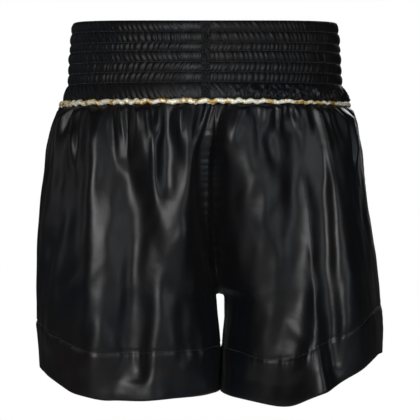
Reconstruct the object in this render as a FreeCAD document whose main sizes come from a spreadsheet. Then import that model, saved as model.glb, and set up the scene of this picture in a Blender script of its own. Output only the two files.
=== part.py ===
"""Gathered satin boxing shorts with a wide shirred elastic waistband and gold piping.

The shorts stand as worn: +Z is up, +X is the wearer's right, -Y is the back and +Y the front.
The origin is the middle of the waistband, on the line round the wearer's waist. Millimetres.

The cloth follows two tubes, one for each leg, that overlap above the crotch and part below it.
Where the tubes cross is the valley of the centre seam. Each piece of a leg is a loft through
sections of one tube, from the centre seam to the side seam, between two depths in the cloth.
"""
import FreeCAD, Part
import math
import os
import Sketcher

doc = FreeCAD.newDocument("boxing_shorts")
sheet = doc.addObject("Spreadsheet::Sheet", "Sizes")

# Driving sizes: alias, millimetres (or a plain ratio), what it is.
SIZES = [
    ("band_top", 39.5, "height of the waistband's folded top edge"),
    ("band_foot", -39.5, "height of the seam between waistband and legs"),
    ("channel_pitch", 10.3, "height of one elastic channel"),
    ("channel_gap", 0.8, "clear height between a tape's edge and its channel's stitching"),
    ("seam_line", 12, "the centre seam's place along X"),
    ("seam_ease", 0.5, "each leg's clearance from the middle of the centre seam"),
    ("seam_width", 6, "width of an overlocked seam allowance"),
    ("cover_thick", 1.6, "gathered outer cloth of the waistband"),
    ("tape_thick", 1.2, "elastic tape"),
    ("lining_thick", 1.2, "gathered inner cloth of the waistband"),
    ("ease", 0.2, "clearance between a tape and the cloth on each side"),
    ("join_width", 9, "width of the waistband's lapped join"),
    ("join_thick", 0.8, "height of the lap over the cover"),
    ("thread_thick", 0.4, "sewing thread"),
    ("stitch_width", 0.8, "width of a row of stitches"),
    ("piping_radius", 2.2, "gold piping, outside"),
    ("piping_core", 1.1, "cotton cord in the piping"),
    ("piping_level", -41.7, "height of the piping's centre"),
    ("piping_reach", 143, "half width of the piping's centreline"),
    ("piping_depth", 98.5, "half depth of the piping's centreline"),
    ("cloth_thick", 1.0, "leg cloth with its small gathers"),
    ("facing_thick", 0.8, "inner layer of the deep hem"),
    ("allowance_thick", 1.2, "overlocked seam allowance"),
    ("allowance_depth", 11, "height of the allowance under the waist seam"),
    ("hem_deep", 46, "height of the hem from its edge to its stitching"),
    ("hem_left_side", -303.5, "hem height at the left side seam"),
    ("hem_crotch", -325, "hem height at the inseams"),
    ("hem_right_side", -288.5, "hem height at the right side seam"),
    ("hem_left_radius", 250, "radius of the left leg's hem curve"),
    ("hem_right_radius", 160, "radius of the right leg's hem curve"),
    ("reach_out", 190, "half width that clears the whole part"),
    ("label_wide", 30, "care label"),
    ("label_tall", 38, "care label"),
    ("label_thick", 0.5, "care label"),
    ("label_shift", -22, "the care label's middle along X"),
    ("label_back", -86, "the care label's place along Y"),
]

# Waistband profile: name, height, half width, half depth, outside the gathered cloth.
BAND = [
    ("foot", -39.5, 142.0, 97.5),
    ("puff", -29.0, 138.6, 95.6),
    ("last", -21.0, 136.3, 94.4),
    ("mid", 8.6, 134.8, 93.4),
    ("top", 39.5, 132.0, 91.5),
]

# Leg profile: name, height, reach to the left, reach to the right, half depth, and pinch: how far
# the centre seam has come in from the tube's edge, from 0 for one tube to 1 where the tubes part.
LEGS = [
    ("seam", -39.5, 138.6, 138.6, 94.0, 0.200),
    ("tuck", -50.0, 146.5, 147.0, 98.5, 0.235),
    ("gather", -72.0, 154.0, 155.0, 103.0, 0.310),
    ("high", -108.0, 160.5, 161.0, 106.5, 0.450),
    ("seat", -148.0, 165.5, 166.5, 108.5, 0.630),
    ("hip", -188.0, 168.8, 170.8, 109.0, 0.820),
    ("crotch", -224.5, 171.0, 175.0, 108.0, 1.000),
    ("thigh", -268.0, 171.0, 177.0, 105.5, 1.060),
    ("hem", -310.0, 171.5, 176.0, 103.0, 1.045),
    ("below", -352.0, 172.0, 173.5, 101.5, 1.020),
]


def fill_sheet():
    rows = [(alias, value) for alias, value, _ in SIZES]
    for name, level, wide, deep in BAND:
        rows += [(f"band_{name}_level", level), (f"band_{name}_wide", wide), (f"band_{name}_deep", deep)]
    for name, level, left, right, deep, pinch in LEGS:
        rows += [(f"leg_{name}_level", level), (f"leg_{name}_left", left), (f"leg_{name}_right", right)]
        rows += [(f"leg_{name}_deep", deep), (f"leg_{name}_pinch", pinch)]
    for line, (alias, value) in enumerate(rows, start=1):
        sheet.set(f"A{line}", alias)
        sheet.set(f"B{line}", str(value))
        sheet.setAlias(f"B{line}", alias)
    doc.recompute()


def size(text):
    """An expression on the sheet: words that are aliases get the sheet's name put before them."""
    known = set(ALIASES)
    out, word = "", ""
    for letter in text + " ":
        if letter.isalnum() or letter == "_":
            word += letter
            continue
        out += f"Sizes.{word}" if word in known else word
        out += letter
        word = ""
    return out.strip()


ALIASES = [alias for alias, _, _ in SIZES]
ALIASES += [f"band_{row[0]}_{part}" for row in BAND for part in ("level", "wide", "deep")]
ALIASES += [f"leg_{row[0]}_{part}" for row in LEGS for part in ("level", "left", "right", "deep", "pinch")]


def bind(item, **paths):
    """Binds properties to the sheet: dots in a property's path are written as double underscores."""
    for path, text in paths.items():
        item.setExpression(path.replace("__", "."), size(text))
    return item


def oval(name, wide, deep, level, middle="0"):
    """A level oval as a stretched circle, so that every section starts at the same side."""
    circle = bind(doc.addObject("Part::Circle", f"{name}_circle"), Radius=wide)
    section = doc.addObject("Part::Scale", name)
    section.Base = circle
    section.Uniform = False
    section.XScale = 1
    section.ZScale = 1
    bind(section, YScale=f"({deep}) / ({wide})", Placement__Base__x=middle, Placement__Base__z=level)
    return section


def loft(name, sections):
    item = doc.addObject("Part::Loft", name)
    item.Sections = sections
    item.Solid = True
    item.Ruled = False
    return item


def slab(name, x, y, z, wide, deep, tall):
    """A box from its lowest corner and its sizes, each an expression."""
    item = doc.addObject("Part::Box", name)
    bind(item, Length=wide, Width=deep, Height=tall)
    return bind(item, Placement__Base__x=x, Placement__Base__y=y, Placement__Base__z=z)


def less(name, base, tool):
    item = doc.addObject("Part::Cut", name)
    item.Base = base
    item.Tool = tool
    return item


def both(name, *shapes):
    item = doc.addObject("Part::MultiCommon", name)
    item.Shapes = list(shapes)
    return item


def grouped(name, *shapes):
    item = doc.addObject("Part::Compound", name)
    item.Links = list(shapes)
    return item


fill_sheet()


# ---------------------------------------------------------------- waistband

def band_solid(name, inset):
    """The waistband's outer shape, taken in by inset."""
    sections = [
        oval(f"{name}_{row}", f"band_{row}_wide - ({inset})", f"band_{row}_deep - ({inset})", f"band_{row}_level")
        for row, _, _, _ in BAND
    ]
    return loft(name, sections)


TAPE_OUT = "cover_thick + ease"
TAPE_IN = "cover_thick + ease + tape_thick"
LINING_OUT = "cover_thick + 2 * ease + tape_thick"
LINING_IN = "cover_thick + 2 * ease + tape_thick + lining_thick"

band_thread = band_solid("band_thread", "0 - join_thick - thread_thick")
band_lap = band_solid("band_lap", "0 - join_thick")
band_stitch = band_solid("band_stitch", "0 - thread_thick")
band_face = band_solid("band_face", "0")
band_back = band_solid("band_back", "cover_thick")
band_tape_face = band_solid("band_tape_face", TAPE_OUT)
band_tape_back = band_solid("band_tape_back", TAPE_IN)
band_lining_face = band_solid("band_lining_face", LINING_OUT)
band_lining_back = band_solid("band_lining_back", LINING_IN)


def level_slab(name, low, tall):
    """A slab across the whole part."""
    return slab(name, "0 - reach_out", "0 - reach_out", low, "2 * reach_out", "2 * reach_out", tall)


def waistband():
    """The cover is folded over the tapes at the top edge, and the lining is the same cloth's inner side."""
    cavity = both(
        "band_cavity",
        band_back,
        level_slab("band_cavity_slab", "band_foot", "band_top - band_foot - cover_thick"),
    )
    cover = less("waistband_cover", less("band_cover_wall", band_face, cavity), band_lining_back)
    lining = both(
        "waistband_lining",
        less("band_lining_wall", band_lining_face, band_lining_back),
        level_slab("band_lining_slab", "band_foot", "band_top - band_foot - cover_thick"),
    )
    return [cover, lining]


def elastic_tapes(count=6):
    """One tape in each channel, counted from the top."""
    wall = less("tape_wall", band_tape_face, band_tape_back)
    tapes = []
    for row in range(1, count + 1):
        drop = f"band_top - {row} * channel_pitch + channel_gap"
        tall = "channel_pitch - 2 * channel_gap"
        if row == 1:
            tall = "channel_pitch - channel_gap - cover_thick - ease"
        tapes.append(both(f"elastic_tape_{row}", wall, level_slab(f"tape_slab_{row}", drop, tall)))
    return tapes


def band_join():
    """The lapped centre back join of the waistband, with a row of stitches along each side."""
    lap = both(
        "waistband_join",
        less("join_wall", band_lap, band_face),
        slab("join_box", "seam_line - join_width / 2", "0 - reach_out", "band_foot",
             "join_width", "reach_out", "band_top - band_foot"),
    )
    wall = less("join_thread_wall", band_thread, band_lap)
    rows = []
    for number, place in enumerate(("0 - join_width / 2 + 1", "join_width / 2 - 1 - stitch_width"), start=1):
        rows.append(both(
            f"join_row_{number}",
            wall,
            slab(f"join_row_box_{number}", f"seam_line + {place}", "0 - reach_out", "band_foot + 1",
                 "stitch_width", "reach_out", "band_top - band_foot - 2"),
        ))
    return [lap, grouped("waistband_join_stitches", *rows)]


def channel_stitches(count=6):
    """The rows of stitches between the channels, which stop at the lapped join."""
    wall = less("channel_thread_wall", band_stitch, band_face)
    gap = slab("channel_join_gap", "seam_line - join_width / 2", "0 - reach_out", "band_foot",
               "join_width", "reach_out", "band_top - band_foot")
    rows = []
    for row in range(1, count + 1):
        ring = both(
            f"channel_ring_{row}",
            wall,
            level_slab(f"channel_slab_{row}", f"band_top - {row} * channel_pitch - stitch_width / 2", "stitch_width"),
        )
        rows.append(less(f"channel_row_{row}", ring, gap))
    return [grouped("channel_stitches", *rows)]


# ---------------------------------------------------------------- piping

def piping():
    """Gold piping round the waist seam: a cotton cord with a skin of gold tape."""
    path = doc.addObject("Part::Ellipse", "piping_path")
    bind(path, MajorRadius="piping_reach", MinorRadius="piping_depth", Placement__Base__z="piping_level")
    rods = []
    for name, radius in (("piping_rod", "piping_radius"), ("piping_bore", "piping_core"), ("piping_core", "piping_core")):
        ring = bind(doc.addObject("Part::Circle", f"{name}_ring"), Radius=radius)
        ring.Placement.Rotation = FreeCAD.Rotation(FreeCAD.Vector(1, 0, 0), 90)
        bind(ring, Placement__Base__x="piping_reach", Placement__Base__z="piping_level")
        rod = doc.addObject("Part::Sweep", name)
        rod.Sections = [ring]
        rod.Spine = (path, ["Edge1"])
        rod.Solid = True
        rod.Frenet = True
        rods.append(rod)
    cover = less("piping_cover", rods[0], rods[1])
    return [cover, rods[2]]


# ---------------------------------------------------------------- legs

def amount(alias):
    return float(sheet.get(alias))


def leg_arc(row, side, half, layer, span):
    """An arc of one leg's oval at one level: x runs out from the centre seam, y to the back or the front."""
    outward = 1 if side == "right" else -1
    facing = 1 if half == "front" else -1
    depth = LAYERS[layer]
    reach = amount(f"leg_{row}_{side}")
    pinch = amount(f"leg_{row}_pinch")
    radius = (reach - outward * amount("seam_line") - amount("seam_ease")) / (1 + pinch)
    deep = amount(f"leg_{row}_deep")
    stretch = FreeCAD.Matrix(
        outward * (depth - radius), 0, 0, outward * (reach - radius),
        0, facing * (deep - depth), 0, 0,
        0, 0, 1, amount(f"leg_{row}_level"),
    )
    seam_angle = math.acos(min(pinch, 1.0))
    start, end = SPANS[span](seam_angle, amount("seam_width") / radius)
    circle = Part.Circle(FreeCAD.Vector(), FreeCAD.Vector(0, 0, 1), 1)
    return Part.ArcOfCircle(circle, start, end).toShape().transformGeometry(stretch).Edges[0]


def leg_cloth(name, side, half, outer, inner, span="panel"):
    """The cloth between two layers of one leg, through every level, over one span of its oval."""
    sections = []
    for row, *_ in LEGS:
        arcs = [leg_arc(row, side, half, layer, span) for layer in (outer, inner)]
        starts = [arc.valueAt(arc.FirstParameter) for arc in arcs]
        ends = [arc.valueAt(arc.LastParameter) for arc in arcs]
        section = doc.addObject("Part::Feature", f"{name}_{row}")
        section.Shape = Part.Wire([arcs[0], Part.makeLine(*ends), arcs[1], Part.makeLine(*starts)])
        sections.append(section)
    cloth = loft(name, sections)
    cloth.MaxDegree = 2
    return cloth


def hem_curtain(name, lift):
    """All that lies above the hem curve, raised by lift: two arcs that meet at the inseams."""
    sketch = doc.addObject("Sketcher::SketchObject", f"{name}_sketch")
    sketch.Placement = FreeCAD.Placement(FreeCAD.Vector(), FreeCAD.Rotation(FreeCAD.Vector(1, 0, 0), 90))
    left, right = -190.0, 190.0
    low_left, low_mid, low_right, high = -303.5, -325.0, -288.5, 0.0
    point = FreeCAD.Vector
    left_arc = sketch.addGeometry(Part.Arc(point(left, low_left, 0), point(-87, -333, 0), point(12, low_mid, 0)))
    right_arc = sketch.addGeometry(Part.Arc(point(12, low_mid, 0), point(95, -334, 0), point(right, low_right, 0)))
    sides = [
        sketch.addGeometry(Part.LineSegment(point(right, low_right, 0), point(right, high, 0))),
        sketch.addGeometry(Part.LineSegment(point(right, high, 0), point(left, high, 0))),
        sketch.addGeometry(Part.LineSegment(point(left, high, 0), point(left, low_left, 0))),
    ]

    def end_near(arc, x, z):
        """Which end of an arc is at that place: 1 for its start, 2 for its end."""
        start = sketch.Geometry[arc].StartPoint
        return 1 if (start - point(x, z, 0)).Length < 1 else 2

    outer = end_near(left_arc, left, low_left), end_near(right_arc, right, low_right)
    inner = 3 - outer[0], 3 - outer[1]
    for pair in (
        (left_arc, inner[0], right_arc, inner[1]),
        (right_arc, outer[1], sides[0], 1),
        (sides[0], 2, sides[1], 1),
        (sides[1], 2, sides[2], 1),
        (sides[2], 2, left_arc, outer[0]),
    ):
        sketch.addConstraint(Sketcher.Constraint("Coincident", *pair))
    sketch.addConstraint(Sketcher.Constraint("Horizontal", sides[1]))
    for kind, line, end, value, text in (
        ("DistanceX", left_arc, outer[0], left, "0 - reach_out"),
        ("DistanceY", left_arc, outer[0], low_left, f"hem_left_side + {lift}"),
        ("DistanceX", right_arc, inner[1], 12, "seam_line"),
        ("DistanceY", right_arc, inner[1], low_mid, f"hem_crotch + {lift}"),
        ("DistanceX", right_arc, outer[1], right, "reach_out"),
        ("DistanceY", right_arc, outer[1], low_right, f"hem_right_side + {lift}"),
        ("DistanceX", sides[1], 2, left, "0 - reach_out"),
        ("DistanceX", sides[1], 1, right, "reach_out"),
        ("DistanceY", sides[1], 1, high, "0"),
    ):
        number = sketch.addConstraint(Sketcher.Constraint(kind, line, end, value))
        bind(sketch, **{f"Constraints[{number}]": text})
    for arc, text in ((left_arc, "hem_left_radius"), (right_arc, "hem_right_radius")):
        number = sketch.addConstraint(Sketcher.Constraint("Radius", arc, sketch.Geometry[arc].Radius))
        bind(sketch, **{f"Constraints[{number}]": text})
    curtain = doc.addObject("Part::Extrusion", name)
    curtain.Base = sketch
    curtain.DirMode = "Custom"
    curtain.Dir = FreeCAD.Vector(0, 1, 0)
    curtain.Symmetric = True
    curtain.Solid = True
    return bind(curtain, LengthFwd="2 * reach_out")


# How far each surface of the leg cloth lies inside its face.
LAYERS = {
    "thread": -amount("thread_thick"),
    "face": 0.0,
    "back": amount("cloth_thick"),
    "facing": amount("cloth_thick") + amount("facing_thick"),
    "allowance": amount("cloth_thick") + amount("allowance_thick"),
}

# Spans of a leg's oval, as angles from the inseam, given the centre seam's angle and a seam's width.
SPANS = {
    "panel": lambda seam, width: (seam, math.pi),
    "centre": lambda seam, width: (seam, seam + width),
    "side": lambda seam, width: (math.pi - width, math.pi + width),
    "inseam": lambda seam, width: (-width, width),
}
LEG_SIDES = ("left", "right")
HALVES = ("back", "front")

above_hem = hem_curtain("above_hem", "0")
above_hem_stitches = hem_curtain("above_hem_stitches", "hem_deep")
above_hem_row = hem_curtain("above_hem_row", "hem_deep - stitch_width")


def leg_panels():
    """Four pieces of satin: a back and a front for each leg."""
    return [
        both(f"{side}_{half}_panel", leg_cloth(f"{side}_{half}_cloth", side, half, "face", "back"), above_hem)
        for side in LEG_SIDES for half in HALVES
    ]


def hems():
    """The inner layer of each leg's deep hem, and the row of stitches that holds it."""
    pieces = []
    for side in LEG_SIDES:
        facings = []
        rows = []
        for half in HALVES:
            name = f"{side}_{half}"
            turned = leg_cloth(f"{name}_turned", side, half, "back", "facing")
            facings.append(less(f"{name}_facing", both(f"{name}_hem", turned, above_hem), above_hem_stitches))
            thread = leg_cloth(f"{name}_thread", side, half, "thread", "face")
            rows.append(less(f"{name}_row", both(f"{name}_line", thread, above_hem_row), above_hem_stitches))
        pieces.append(grouped(f"{side}_hem_facing", *facings))
        pieces.append(grouped(f"{side}_hem_stitches", *rows))
    return pieces


def seams():
    """The overlocked seam allowances on the inside of the cloth, two pressed edges to a seam."""
    below = "band_foot - allowance_depth"
    waist = level_slab("waist_seam_slab", below, "allowance_depth")
    centre = level_slab("centre_seam_slab", "leg_crotch_level", f"{below} - 1 - leg_crotch_level")
    inner = "hem_crotch + hem_deep + 2"
    inseam = level_slab("inseam_slab", inner, f"leg_crotch_level - 4 - ({inner})")
    edges = [
        both(f"{side}_{half}_waist_edge",
             leg_cloth(f"{side}_{half}_waist", side, half, "back", "allowance"), waist)
        for side in LEG_SIDES for half in HALVES
    ]
    pieces = [grouped("waist_seam_allowance", *edges)]
    for half in HALVES:
        edges = [
            both(f"{side}_{half}_centre_edge",
                 leg_cloth(f"{side}_{half}_centre", side, half, "back", "allowance", "centre"), centre)
            for side in LEG_SIDES
        ]
        pieces.append(grouped(f"centre_{half}_seam", *edges))
    for side in LEG_SIDES:
        low = f"hem_{side}_side + hem_deep + 3"
        outer = level_slab(f"{side}_side_slab", low, f"{below} - 1 - ({low})")
        side_strip = leg_cloth(f"{side}_side_strip", side, "back", "back", "allowance", "side")
        pieces.append(both(f"{side}_side_seam", side_strip, outer))
        inner_strip = leg_cloth(f"{side}_inseam_strip", side, "back", "back", "allowance", "inseam")
        pieces.append(both(f"{side}_inseam", inner_strip, inseam))
    return pieces


# ---------------------------------------------------------------- care label

def care_label():
    """A plain folded tab, sewn into the waist seam inside the back."""
    body = doc.addObject("PartDesign::Body", "care_label")
    sketch = body.newObject("Sketcher::SketchObject", "label_outline")
    plane = next(p for p in body.Origin.OriginFeatures if p.Role == "XZ_Plane")
    sketch.AttachmentSupport = [(plane, "")]
    sketch.MapMode = "FlatFace"
    corners = [(-15, -38), (15, -38), (15, 0), (-15, 0)]
    points = [FreeCAD.Vector(x, y, 0) for x, y in corners]
    lines = [sketch.addGeometry(Part.LineSegment(points[i], points[(i + 1) % 4])) for i in range(4)]
    for i in range(4):
        sketch.addConstraint(Sketcher.Constraint("Coincident", lines[i], 2, lines[(i + 1) % 4], 1))
    for i, kind in enumerate(("Horizontal", "Vertical", "Horizontal", "Vertical")):
        sketch.addConstraint(Sketcher.Constraint(kind, lines[i]))
    wide = sketch.addConstraint(Sketcher.Constraint("DistanceX", lines[0], 1, lines[0], 2, 30))
    tall = sketch.addConstraint(Sketcher.Constraint("DistanceY", lines[1], 1, lines[1], 2, 38))
    left = sketch.addConstraint(Sketcher.Constraint("DistanceX", lines[2], 2, -15))
    sketch.addConstraint(Sketcher.Constraint("DistanceY", lines[2], 2, 0))
    bind(sketch, **{
        f"Constraints[{wide}]": "label_wide",
        f"Constraints[{tall}]": "label_tall",
        f"Constraints[{left}]": "0 - label_wide / 2",
    })
    pad = body.newObject("PartDesign::Pad", "label_pad")
    pad.Profile = sketch
    bind(pad, Length="label_thick")
    bind(body, Placement__Base__x="label_shift", Placement__Base__y="label_back", Placement__Base__z="band_foot - 2")
    return [body]


# ---------------------------------------------------------------- build, check and write

def build():
    parts = waistband() + elastic_tapes() + band_join() + channel_stitches() + piping()
    parts += leg_panels() + hems() + seams() + care_label()
    for part in parts:
        part.Label = part.Name
    doc.recompute()
    return parts


def check(parts):
    faults = [f"{item.Name} {item.State}" for item in doc.Objects
              if "Invalid" in item.State or "Error" in item.State]
    faults += [f"{part.Label} has no valid solid" for part in parts
               if part.Shape.isNull() or not part.Shape.isValid() or not part.Shape.Solids]
    if faults:
        raise RuntimeError("; ".join(faults))


def write(parts):
    os.makedirs("parts", exist_ok=True)
    for part in parts:
        part.Shape.exportStep(os.path.join("parts", f"{part.Label}.step"))


pieces = build()
check(pieces)
write(pieces)
for piece in pieces:
    shape = piece.Shape
    print(f"{piece.Label}: {len(shape.Solids)} solids, {shape.Volume / 1000:.2f} cm3")
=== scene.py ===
"""Gathered satin boxing shorts: shirred elastic waistband, gold piping and full legs with deep hems.

Metres, +Z up as worn, -Y the back. The legs are one sewn net of cloth that a cloth simulation drops
over a padded form. The form carries the main folds. Code then smooths the net, adds the smaller
gathers and creases, and cuts it into its panels.
"""
import math

import bpy
import numpy as np
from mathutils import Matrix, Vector


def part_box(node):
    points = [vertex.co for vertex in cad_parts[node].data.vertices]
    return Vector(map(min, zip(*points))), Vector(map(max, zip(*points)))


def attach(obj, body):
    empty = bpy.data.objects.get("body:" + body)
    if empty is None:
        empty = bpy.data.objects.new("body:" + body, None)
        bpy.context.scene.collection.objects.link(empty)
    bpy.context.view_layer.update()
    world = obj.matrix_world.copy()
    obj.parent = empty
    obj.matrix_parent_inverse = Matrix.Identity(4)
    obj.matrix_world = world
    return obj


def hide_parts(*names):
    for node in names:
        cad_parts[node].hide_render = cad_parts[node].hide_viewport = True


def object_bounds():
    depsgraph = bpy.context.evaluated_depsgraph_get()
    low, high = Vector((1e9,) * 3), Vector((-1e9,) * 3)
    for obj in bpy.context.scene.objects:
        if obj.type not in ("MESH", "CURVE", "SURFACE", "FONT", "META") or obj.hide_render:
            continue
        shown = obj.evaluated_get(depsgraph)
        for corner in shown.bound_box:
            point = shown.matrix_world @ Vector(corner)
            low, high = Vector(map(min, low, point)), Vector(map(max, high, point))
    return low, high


bl_info = {
    "name": "Boxing Shorts",
    "version": (1, 0, 0),
    "blender": (4, 5, 0),
    "location": "View3D > Sidebar > Shorts",
    "description": "Makes gathered satin boxing shorts over a packed frame",
    "category": "Add Mesh",
}

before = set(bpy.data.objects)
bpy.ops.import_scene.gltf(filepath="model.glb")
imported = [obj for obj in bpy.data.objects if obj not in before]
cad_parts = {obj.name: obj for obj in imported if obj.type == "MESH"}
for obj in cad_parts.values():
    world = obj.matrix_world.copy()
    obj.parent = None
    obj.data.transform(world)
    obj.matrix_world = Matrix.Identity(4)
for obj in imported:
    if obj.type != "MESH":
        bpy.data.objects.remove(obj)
CAD_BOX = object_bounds()
MM = 0.001

# Waistband profile at its face: height, half width, half depth, in millimetres.
BAND = np.array([
    (-39.5, 142.0, 97.5), (-29.0, 138.6, 95.6), (-21.0, 136.3, 94.4), (8.6, 134.8, 93.4), (39.5, 132.0, 91.5),
]) * MM
# Leg profile: height, reach to the left, reach to the right and half depth, in millimetres, and how
# far the centre seam has come in, in thousandths: 1000 is where the two legs part.
LEGS = np.array([
    (-352.0, 168.5, 177.0, 101.5, 1020), (-310.0, 169.0, 179.5, 103.0, 1040),
    (-268.0, 170.5, 181.5, 105.5, 1050), (-224.5, 172.0, 178.5, 108.0, 1000),
    (-188.0, 169.8, 173.7, 109.0, 820), (-148.0, 165.5, 166.5, 108.5, 630),
    (-108.0, 160.5, 161.0, 106.5, 450), (-72.0, 154.0, 155.0, 103.0, 310),
    (-50.0, 146.5, 147.0, 98.5, 235), (-39.5, 138.6, 138.6, 94.0, 200),
]) * MM
BAND_TALL = 0.079
ROUND_WAIST = 0.722
# The centre back join: the turn at its middle, and how far it is from the waist's centre.
JOIN_TURN = math.atan2(-1.0, 0.0098 * 0.7)
JOIN_REACH = 0.1345
# Where the centre seams are from left to right, and the heights of the waist seam, the fork of the
# legs and the middle of the hems.
SEAM = 0.012
FOOT = -0.0395
CROTCH = -0.2245
HEM_MIDDLE = -0.325
# Depth over width of the waist, the cloth's own width for one radian round the waistband and for
# one column or row of a leg's net, and how thick the piping's cloth stands over its core.
WAIST_FLATNESS = 0.72
TURN_WIDTH = 0.23
CLOTH_STEP = 0.0022
PIPING_WRAP = 0.0011
# Hem height across each leg, from its side seam to its inseam.
HEMS = {
    -1: np.array([(-168, -302), (-155, -310), (-130, -322.5), (-100, -329), (-60, -329), (-25, -326),
                  (12, -323)]) * MM,
    1: np.array([(12, -324), (30, -329), (52, -338), (75, -337), (100, -328), (130, -320), (155, -303),
                 (175, -288)]) * MM,
}
# The net of each leg: columns go from the centre front seam round the side to the centre back seam.
COLUMNS = 160
ROWS = 66
FORK_ROW = 43
# Columns that lie beside an inseam, and how many times finer the finished net is.
SEAM_COLUMNS = 24
FINER = 2
# The finished nets by side, and the areas of the pattern by side and by front or back.
LEG_NETS = {}

# Soft folds in the back of the legs: width, height (below 0 for a valley), then points (x, z), in
# millimetres. The padded form carries all of them, and the valleys are deepened after the drape.
FOLDS = [
    (12, 4, (-150, -75), (-152, -130), (-160, -175)),
    (14, 9, (-106, -62), (-106, -118), (-109, -200), (-111, -310)),
    (10, 4, (-132, -62), (-130, -140), (-138, -215)),
    (16, -7, (-75, -95), (-66, -150), (-68, -220), (-64, -315)),
    (11, 5, (-55, -60), (-55, -105), (-47, -145), (-43, -160)),
    (11, 5, (-6, -60), (-12, -110), (-26, -150), (-34, -158)),
    (8, -4, (-31, -70), (-33, -120), (-36, -138)),
    (19, 10, (-20, -150), (-16, -190), (-18, -225), (-22, -320)),
    (27, -9, (90, -5), (91, -66), (94, -185), (98, -300)),
    (16, -7, (8, -80), (5, -140), (11, -212)),
    (7, -6, (118, -80), (116, -140), (120, -210), (127, -310)),
    (14, 6, (138, -66), (138, -135), (144, -280)),
    (11, 3, (30, -120), (42, -193), (52, -340)),
    (13, 6, (36, -58), (42, -98), (58, -130)),
    (7, 4, (22, -50), (26, -95)),
    (5, -4, (82, -46), (80, -70)),
    (6, -4, (60, -66), (68, -108)),
    (9, 3, (-140, -180), (-152, -215)),
    (5, -3, (-150, -170), (-158, -220)),
    (6, 3, (-150, -240), (-158, -290)),
    (10, 3, (155, -230), (166, -300)),
    (48, -15, (26, -352), (98, -352)),
    (34, -10, (-110, -350), (-66, -350)),
]


class ShortsSizes(bpy.types.PropertyGroup):
    pucker_pitch: bpy.props.FloatProperty(
        name="Pucker pitch", description="Mean distance between the puckers of the waistband",
        default=0.0043, min=0.002, max=0.02, unit="LENGTH")
    pucker_depth: bpy.props.FloatProperty(
        name="Pucker depth", description="How far a pucker stands out between two rows of stitches",
        default=0.0019, min=0.0, max=0.006, unit="LENGTH")
    channels: bpy.props.IntProperty(
        name="Elastic channels", description="Rows of elastic in the waistband", default=6, min=1, max=10)
    channel_pitch: bpy.props.FloatProperty(
        name="Channel pitch", description="Height of one elastic channel", default=0.0103, unit="LENGTH")
    back_dip: bpy.props.FloatProperty(
        name="Back dip", description="How much lower the waistband's top is at the middle of the back",
        default=0.004, unit="LENGTH")
    piping: bpy.props.FloatProperty(
        name="Piping radius", description="Half the thickness of the gold piping", default=0.0026,
        unit="LENGTH")
    hem_depth: bpy.props.FloatProperty(
        name="Hem depth", description="Height of the hem's stitches over its edge", default=0.046,
        unit="LENGTH")
    cloth: bpy.props.FloatProperty(
        name="Cloth thickness", description="Thickness of the satin", default=0.0004, unit="LENGTH")
    fullness_waist: bpy.props.FloatProperty(
        name="Fullness at the waist", description="Cloth width over finished width at the waist seam",
        default=1.22)
    fullness_hem: bpy.props.FloatProperty(
        name="Fullness at the hem", description="Cloth width over finished width at the hem", default=1.03)
    frames: bpy.props.IntProperty(
        name="Drape frames", description="Frames of cloth simulation", default=34, min=1, max=120)
    stitch: bpy.props.FloatProperty(
        name="Stitch length", description="Length of one stitch", default=0.0022, unit="LENGTH")
    seed: bpy.props.IntProperty(name="Seed", description="Seed of the folds and puckers", default=4, min=0)


class ShortsColours(bpy.types.PropertyGroup):
    satin: bpy.props.FloatVectorProperty(
        name="Satin", description="Colour of the satin", subtype="COLOR", size=3,
        default=(0.0035, 0.0036, 0.0042))
    gold: bpy.props.FloatVectorProperty(
        name="Gold", description="Colour of the piping's gold cloth", subtype="COLOR", size=3,
        default=(0.74, 0.50, 0.16))
    thread: bpy.props.FloatVectorProperty(
        name="Thread", description="Colour of the sewing thread", subtype="COLOR", size=3,
        default=(0.008, 0.008, 0.009))
    elastic: bpy.props.FloatVectorProperty(
        name="Elastic", description="Colour of the elastic tape", subtype="COLOR", size=3,
        default=(0.72, 0.71, 0.67))
    label: bpy.props.FloatVectorProperty(
        name="Care label", description="Colour of the blank care label", subtype="COLOR", size=3,
        default=(0.78, 0.78, 0.75))
    floor: bpy.props.FloatVectorProperty(
        name="Floor", description="Colour of the floor", subtype="COLOR", size=3, default=(0.82, 0.82, 0.82))


# ------------------------------------------------------------------ meshes

def mesh_object(name, points, faces, uv=None):
    """A smooth mesh piece. uv holds one pair for each point."""
    mesh = bpy.data.meshes.new(name)
    mesh.from_pydata(np.asarray(points).tolist(), [], np.asarray(faces).tolist())
    mesh.update()
    mesh.polygons.foreach_set("use_smooth", [True] * len(mesh.polygons))
    if uv is not None:
        corners = np.empty(len(mesh.loops), int)
        mesh.loops.foreach_get("vertex_index", corners)
        layer = mesh.uv_layers.new(name="cloth")
        layer.data.foreach_set("uv", np.asarray(uv)[corners].ravel())
    item = bpy.data.objects.new(name, mesh)
    bpy.context.scene.collection.objects.link(item)
    return item


def grid_faces(rows, columns, closed=False, flip=False):
    """Quads of a net with that many rows and columns of points."""
    index = np.arange(rows * columns).reshape(rows, columns)
    after = np.roll(index, -1, 1)
    if not closed:
        index, after = index[:, :-1], after[:, :-1]
    quads = np.stack([index[:-1], after[:-1], after[1:], index[1:]], -1).reshape(-1, 4)
    return quads[:, ::-1] if flip else quads


def ring_faces(rows, columns, flip=False):
    """Quads of a net that closes on itself both ways."""
    index = np.arange(rows * columns).reshape(rows, columns)
    below = np.roll(index, -1, 0)
    quads = np.stack([index, np.roll(index, -1, 1), np.roll(below, -1, 1), below], -1).reshape(-1, 4)
    return quads[:, [0, 3, 2, 1]] if flip else quads


def oval_place(turn, wide, deep, stand):
    """A point on an oval, moved outwards by stand."""
    nx, ny = np.cos(turn) / wide, np.sin(turn) / deep
    size = np.hypot(nx, ny)
    return wide * np.cos(turn) + stand * nx / size, deep * np.sin(turn) + stand * ny / size


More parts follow.
